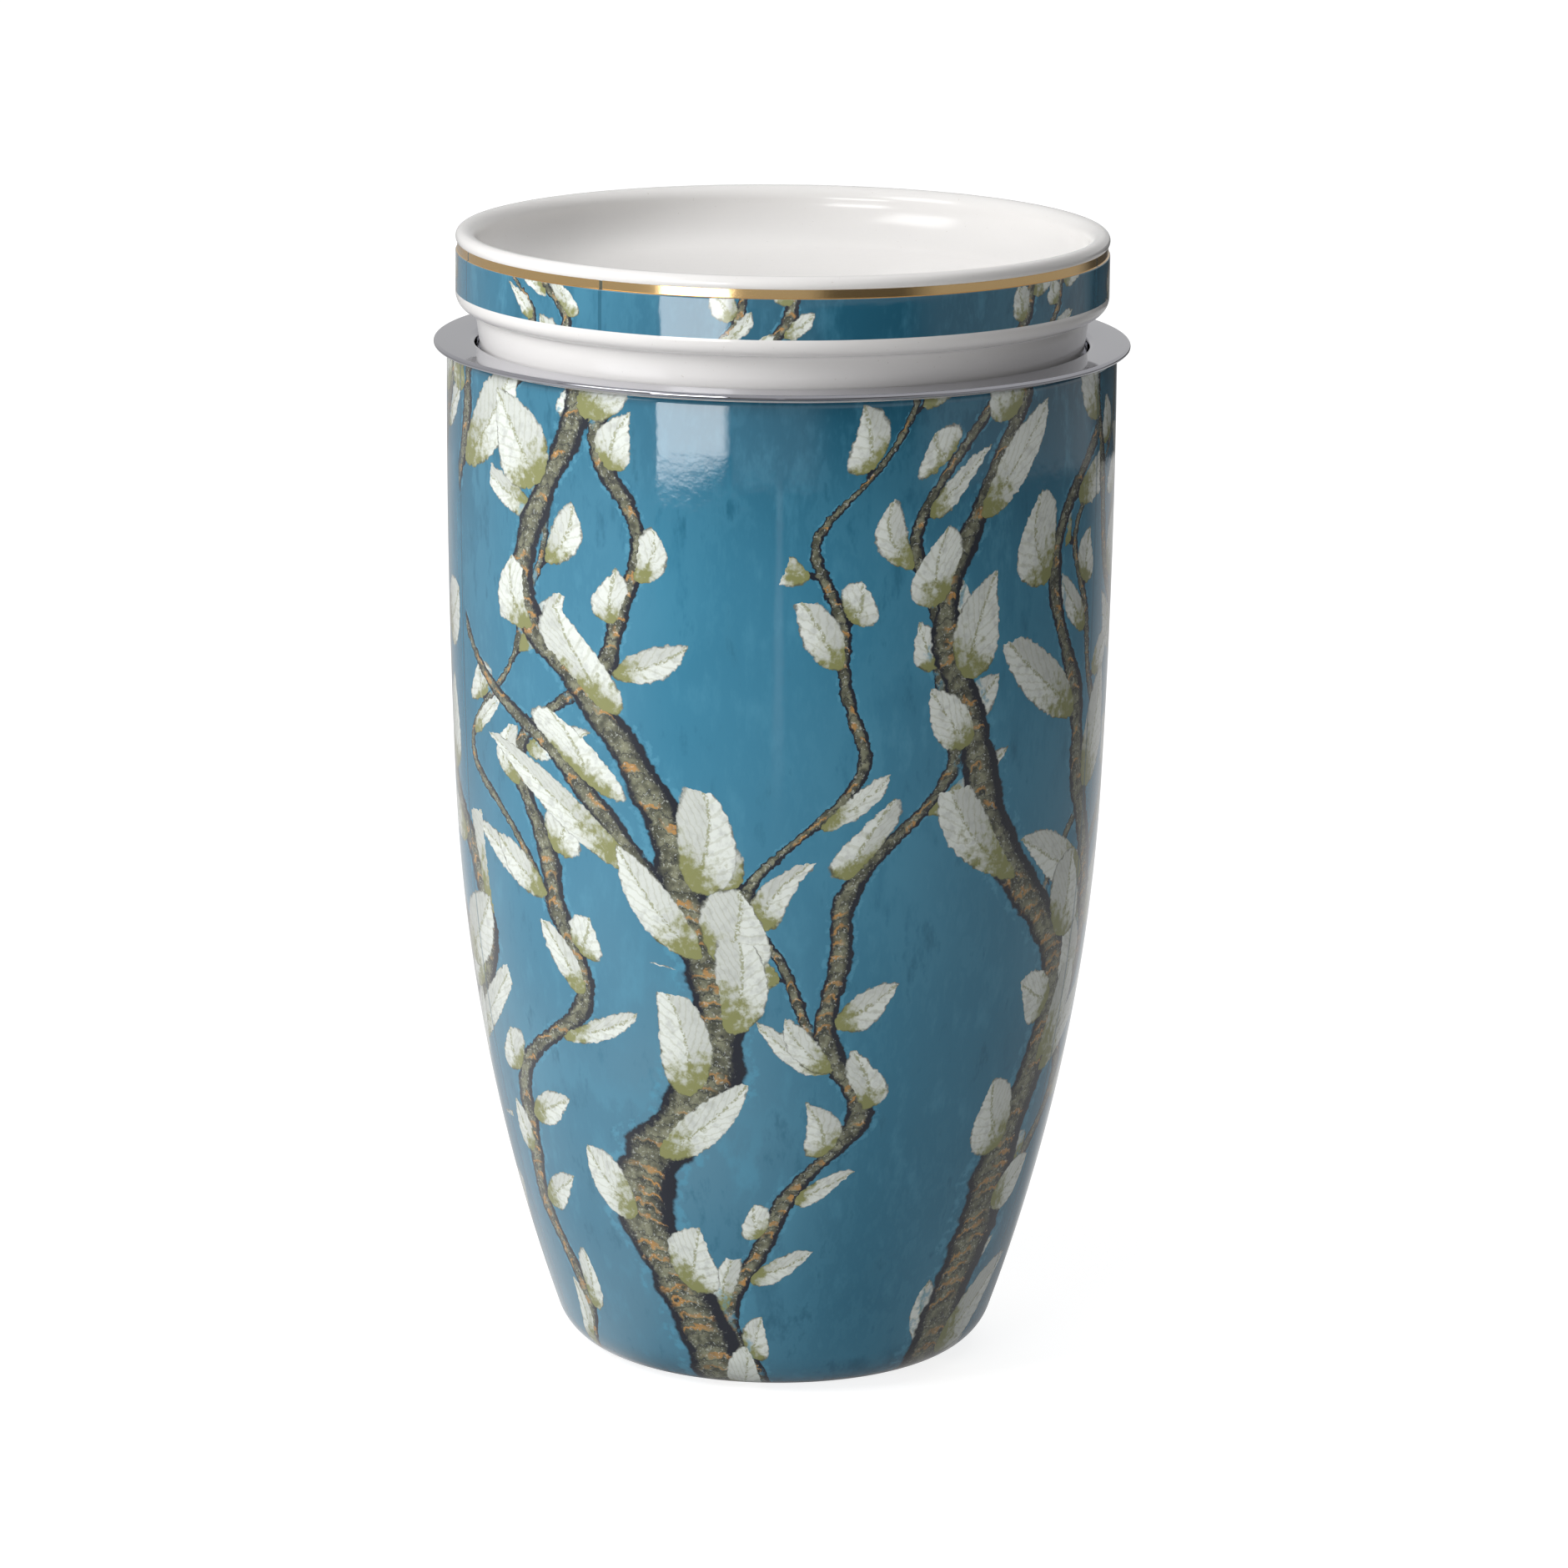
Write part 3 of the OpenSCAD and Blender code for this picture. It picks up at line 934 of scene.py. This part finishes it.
def sieve_wall_mesh(size):
    """The perforated wall: staggered round holes between two plain edges, and the lapped seam.

    Each hole stands in a cell of its own, which shares its corners and middles with its
    neighbours. Face 0 of the sheet is its outside and face 1 its inside.
    """
    mesh = SheetMesh()
    radii = (SLEEVE_HIGH.x, SLEEVE_HIGH.x - size.wall)
    low, high = CUP_HIGH.z + PLAIN_EDGE, BRIM_LOW.z - PLAIN_EDGE
    row_height = (high - low) / size.rows
    half_column = FULL_TURN / size.holes_round / 2
    halves = 2 * size.holes_round
    seam = math.pi / 2
    plain = (size.lap / 2 + SEAM_MARGIN) / SLEEVE_HIGH.x

    def border_point(half, level, face):
        place = on_cylinder(radii[face], half * half_column, low + level * row_height)
        return mesh.point((half % halves, level, face), place)

    around_cell = ((1, 0.5), (1, 1), (0, 1), (-1, 1), (-1, 0.5), (-1, 0), (0, 0), (1, 0))
    for row in range(size.rows):
        for column in range(size.holes_round):
            middle = 2 * column + 1 + row % 2
            borders = [
                [border_point(middle + a, row + b, face) for a, b in around_cell]
                for face in (0, 1)
            ]
            centre_a = middle * half_column
            if abs((centre_a - seam + math.pi) % FULL_TURN - math.pi) < plain:
                mesh.faces += [borders[0], borders[1][::-1]]
                continue
            holes = [
                [
                    mesh.point((row, column, n, face, "hole"), on_cylinder(
                        radii[face], centre_a + along / radii[0],
                        low + (row + 0.5) * row_height + up))
                    for n, (along, up) in enumerate(circle((0, 0), size.hole / 2, HOLE_CORNERS))
                ]
                for face in (0, 1)
            ]
            mesh.cell(borders[0], holes[0])
            mesh.cell(borders[1][::-1], holes[1][:1] + holes[1][:0:-1])
            mesh.strip(holes[0], holes[1])

    for level, height in ((0, SLEEVE_LOW.z), (size.rows, SLEEVE_HIGH.z)):
        rings = [[border_point(half, level, face) for half in range(halves)] for face in (0, 1)]
        edges = [
            [
                mesh.point(
                    ("edge", level, half, face),
                    on_cylinder(radii[face], half * half_column, height))
                for half in range(halves)
            ]
            for face in (0, 1)
        ]
        round_the_edge = [rings[0], edges[0], edges[1], rings[1]]
        if level == 0:
            round_the_edge.reverse()
        for here, after in zip(round_the_edge, round_the_edge[1:]):
            mesh.strip(here, after)
    add_lap(mesh, size, radii[1], seam)
    return mesh


def add_lap(mesh, size, inside, seam, steps=8):
    """The end of the wall's strip, which laps over its start on the inside, at the seam's angle."""
    outer, inner = inside + size.wall / 2, inside - size.wall
    section = (
        (outer, SLEEVE_LOW.z), (outer, SLEEVE_HIGH.z), (inner, SLEEVE_HIGH.z), (inner, SLEEVE_LOW.z))
    columns = []
    for i in range(steps + 1):
        angle = seam + (i / steps - 0.5) * size.lap / SLEEVE_HIGH.x
        columns.append([
            mesh.point(("lap", i, n), on_cylinder(radius, angle, height))
            for n, (radius, height) in enumerate(section)
        ])
    for here, after in zip(columns, columns[1:]):
        mesh.strip(after, here)
    mesh.faces += [columns[0], columns[-1][::-1]]


def sieve_floor_mesh(size, segments=144):
    """The pressed floor: a flat disc with rings of holes, and the rim that holds the wall."""
    mesh = SheetMesh()
    sheet = size.sheet
    bend_out = size.bend + 2 * sheet
    flat_r = CUP_HIGH.x - bend_out
    bend_c = (flat_r, CUP_LOW.z + bend_out)
    profile = (
        bend_arc(bend_c, bend_out, -90, 0)
        + [(CUP_HIGH.x, CUP_HIGH.z, 0), (SLEEVE_HIGH.x, CUP_HIGH.z, 0)]
        + bend_arc(bend_c, bend_out - sheet, 0, -90)
    )
    rings = [
        [mesh.point((k, i), on_cylinder(radius, FULL_TURN * i / segments, height))
         for i in range(segments)]
        for k, (radius, height, _) in enumerate(profile)
    ]
    for low, high in zip(rings, rings[1:]):
        mesh.strip(low, high)

    # The flat disc is cut round its holes, once for each of its two sides.
    pitch = (flat_r - size.hole / 2 - FLOOR_MARGIN) / size.rings
    loops = [[Vector(corner) for corner in circle((0, 0), flat_r, segments)]]
    for ring in range(size.rings + 1):
        for centre in circle((0, 0), ring * pitch, max(1, 6 * ring)):
            hole = circle((0, 0), size.hole / 2, HOLE_CORNERS)
            loops.append([Vector(centre) + Vector(corner) for corner in hole])
    flat, edges = [], []
    for loop in loops:
        start = len(flat)
        edges += [(start + n, start + (n + 1) % len(loop)) for n in range(len(loop))]
        flat += loop
    inside_with_holes = 2
    found = delaunay_2d_cdt(flat, edges, [], inside_with_holes, SAME_POINT)
    corners, triangles = found[0], found[2]
    where = {}
    for face, height, rim in ((0, CUP_LOW.z + sheet, rings[-1]), (1, CUP_LOW.z, rings[0])):
        for n, corner in enumerate(corners):
            if n < segments:
                where[face, n] = rim[n]
            else:
                where[face, n] = mesh.point(("disc", face, n), (corner.x, corner.y, height))
    for triangle in triangles:
        mesh.faces.append([where[0, n] for n in triangle])
        mesh.faces.append([where[1, n] for n in reversed(triangle)])
    for start in range(segments, len(flat), HOLE_CORNERS):
        loop = range(start, start + HOLE_CORNERS)
        mesh.strip([where[0, n] for n in loop], [where[1, n] for n in loop])
    return mesh


class MUG_OT_sieve(bpy.types.Operator):
    """Roll the perforated wall of the sieve and press its floor"""

    bl_idname = "teamug.sieve"
    bl_label = "Infuser sieve"

    def execute(self, context):
        size = context.scene.infuser_sizes
        steel = make_steel("perforated_steel", context.scene.mug_colours, 0.20, 1500)
        for name, node, mesh in (
            ("sieve_wall", "infuser_sleeve", sieve_wall_mesh(size)),
            ("sieve_floor", "infuser_base", sieve_floor_mesh(size)),
        ):
            piece = new_piece(name, mesh.points, mesh.faces, [steel], [0] * len(mesh.faces))
            finish_piece(piece, "infuser", "perforated_steel", node)
        return {"FINISHED"}


# ---------------------------------------------------------------- stage


PAPER, PAPER_GRAIN, PAPER_SEEN = [(tone,) * 3 for tone in (0.60, 0.56, 0.1)]
SEEN_NEAR, SEEN_FAR_EXTRA = 0.84, 0.16
DARKEST = 0.02
GILT_DISTANCE = (0.638, 0.652)
GILT_BRIGHT, GILT_DARKER = 0.40, 0.34


def mirrored_floor(finish, x, y, distance):
    """How bright the glaze and the gold line mirror the floor, by side and by distance.

    It is dark in front and to the right, and white behind and to the left. The gold line mirrors
    what lies beyond the GILT_DISTANCE.
    """
    sideways = x / distance
    behind = finish.smooth(y / distance, 0.55, 0.95) * 0.45
    left = finish.smooth(sideways, -0.55, -0.90) * 0.45
    right = finish.smooth(sideways, 0.45, 0.85) * 0.10
    near = finish.smooth(distance, 0.48, 0.20) * 0.20
    streak = finish.band(x, -0.012, 0.008, 0.006) * finish.smooth(y, -0.25, -0.40) * 0.5
    dark_sector = finish.band(sideways, 0.22, 0.75, 0.1)
    gilt = finish.smooth(distance, *GILT_DISTANCE)
    plain = (behind + left + right + near + streak + DARKEST) * (1 - gilt)
    return plain + (GILT_BRIGHT - dark_sector * GILT_DARKER) * gilt


def make_floor():
    """White paper with the object's shadow, which the glaze mirrors as a floor of its own."""
    finish = Finish("floor_paper")
    place = finish.object_place()
    x, y, _ = finish.split(place)
    distance = finish.math("SQRT", x * x + y * y)
    seen = finish.node("LightPath", output="Is Camera Ray")
    mirrored = finish.node("LightPath", output="Is Glossy Ray")
    tone = finish.mix(finish.noise(place, 300, 2) * 0.1, PAPER, PAPER_GRAIN)
    tone = finish.mix(seen * 0.5, tone, PAPER_SEEN)
    lift = seen * (finish.smooth(distance, 0.10, 0.55) * SEEN_FAR_EXTRA + SEEN_NEAR)
    matt = finish.node("BsdfDiffuse", sockets={"Color": tone})
    glow = finish.node("Emission", sockets={"Strength": lift})
    paper = finish.node("AddShader", sockets={0: matt, 1: glow})
    strength = mirrored_floor(finish, x, y, distance)
    image = finish.node("Emission", sockets={"Strength": strength})
    return finish.end(finish.node("MixShader", sockets={0: mirrored, 1: paper, 2: image}))


def make_world():
    """Even studio light: white to the camera, pale grey in reflections, dim as a lamp."""
    finish = Finish("studio", "worlds")
    seen = finish.node("LightPath", output="Is Camera Ray")
    mirrored = finish.node("LightPath", output="Is Glossy Ray")
    strength = seen * 0.78 + mirrored * 0.44 + 0.22
    glow = finish.node("Background", sockets={"Strength": strength})
    finish.node("OutputWorld", sockets={"Surface": glow})
    return finish.block


AIM = Vector((0, 0, 0.1))
STANDING_SOFTBOX = {
    "angle": math.radians(-28.5), "distance": 0.47, "width": 0.21, "top": 0.22,
    "foot": 0.0325, "full": 0.0435, "strength": 6.5,
}
FOOT_SLANT = 0.035
FADED_SIDE = 0.36
UPPER_SOFTBOX = {"place": (-0.546, -0.315, 0.507), "size": (0.35, 0.35), "watts": 4.25}
UPPER_CLOTH = {"half": 0.24, "strength": 3.2}
OVERHEAD_SOFTBOX = {"place": (0.20, 0.22, 0.78), "size": (0.6, 0.5), "watts": 2.4}


def square(half):
    return [(-half, -half, 0), (half, -half, 0), (half, half, 0), (-half, half, 0)]


def flat_piece(name, corners, material):
    """A single face with four corners."""
    piece = new_piece(name, corners, [[0, 1, 2, 3]], [material], [0])
    return piece


def add_panel(name, angle, distance, width, top, foot, full, strength):
    """An upright softbox on the floor, at an angle round the mug from -Y, that faces the mug.

    Its cloth is dark up to the height foot and bright from full. That lower edge rises a little
    to the right, and the right side fades.
    """
    finish = Finish("softbox_cloth")
    x, y, height = finish.split(finish.object_place())
    along = x * math.cos(angle) + y * math.sin(angle)
    faded = finish.smooth(along, width * 0.5, width * FADED_SIDE)
    lit = finish.smooth(height - along * FOOT_SLANT, foot, full) * faded
    side = Vector((math.cos(angle), math.sin(angle), 0)) * (width / 2)
    middle = Vector((math.sin(angle), -math.cos(angle), 0)) * distance
    up = Vector((0, 0, top))
    corners = [middle - side, middle + side, middle + side + up, middle - side + up]
    panel = flat_piece(name, corners, finish.glowing(lit * strength))
    panel.visible_camera = False


def add_lamp(name, place, size, watts):
    """A rectangular softbox at place that looks at the mug. Surfaces don't mirror it."""
    lamp = bpy.data.lights.new(name, "AREA")
    lamp.shape = "RECTANGLE"
    lamp.size, lamp.size_y = size
    lamp.energy = watts
    holder = new_object(name, lamp)
    facing = (Vector(place) - AIM).to_track_quat("Z", "Y").to_matrix().to_4x4()
    holder.matrix_world = Matrix.Translation(place) @ facing
    holder.visible_camera = holder.visible_glossy = False
    return holder


def add_card(name, lamp, half, strength):
    """A lamp's cloth as surfaces mirror it: soft at its edges, and no lamp itself."""
    finish = Finish(name)
    x, y, _ = finish.split(finish.object_place())
    lit = finish.smooth(abs(x), half, half * 0.5) * finish.smooth(abs(y), half, half * 0.5)
    card = flat_piece(name, square(half), finish.glowing(lit * strength))
    card.matrix_world = lamp.matrix_world
    card.visible_camera = card.visible_diffuse = card.visible_shadow = False


class MUG_OT_stage(bpy.types.Operator):
    """Set the floor, the lamps, the world and the camera"""

    bl_idname = "teamug.stage"
    bl_label = "Stage"

    def execute(self, context):
        size = context.scene.stage_sizes
        flat_piece("floor", square(size.floor_size / 2), make_floor())

        camera = bpy.data.cameras.new("camera")
        camera.lens = size.lens
        camera.sensor_width = 36
        camera.clip_start = 0.01
        holder = new_object("camera", camera)
        holder.matrix_world = (
            Matrix.Translation((size.camera_side, -size.camera_back, size.camera_height))
            @ Matrix.Rotation(math.pi / 2 - size.camera_dip, 4, "X")
            @ Matrix.Rotation(size.camera_roll, 4, "Z")
        )
        context.scene.camera = holder

        add_panel("standing_softbox", **STANDING_SOFTBOX)
        upper = add_lamp("upper_softbox", **UPPER_SOFTBOX)
        add_card("upper_cloth", upper, **UPPER_CLOTH)
        add_lamp("overhead_softbox", **OVERHEAD_SOFTBOX)
        context.scene.world = make_world()
        context.scene.view_settings.view_transform = "Standard"
        return {"FINISHED"}


class MUG_PT_panel(bpy.types.Panel):
    """Lists the pieces and the stage"""

    bl_label = "Tea mug"
    bl_idname = "MUG_PT_panel"
    bl_space_type = "VIEW_3D"
    bl_region_type = "UI"
    bl_category = "Tea mug"

    def draw(self, context):
        for step in STEPS:
            self.layout.operator(step.bl_idname)


SETTINGS = {
    "mug_sizes": MugSizes,
    "infuser_sizes": InfuserSizes,
    "lid_sizes": LidSizes,
    "mug_colours": Colours,
    "stage_sizes": StageSizes,
}
STEPS = (MUG_OT_stage, MUG_OT_body, MUG_OT_brim, MUG_OT_sieve, MUG_OT_lid)


def register():
    for name, group in SETTINGS.items():
        bpy.utils.register_class(group)
        setattr(bpy.types.Scene, name, PointerProperty(type=group))
    for item in (*STEPS, MUG_PT_panel):
        bpy.utils.register_class(item)


def unregister():
    for item in (MUG_PT_panel, *STEPS):
        bpy.utils.unregister_class(item)
    for name, group in SETTINGS.items():
        delattr(bpy.types.Scene, name)
        bpy.utils.unregister_class(group)


def main():
    register()
    bpy.ops.teamug.stage()
    bpy.ops.teamug.body()
    bpy.ops.teamug.brim()
    bpy.ops.teamug.sieve()
    bpy.ops.teamug.lid()


if __name__ == "__main__":
    main()
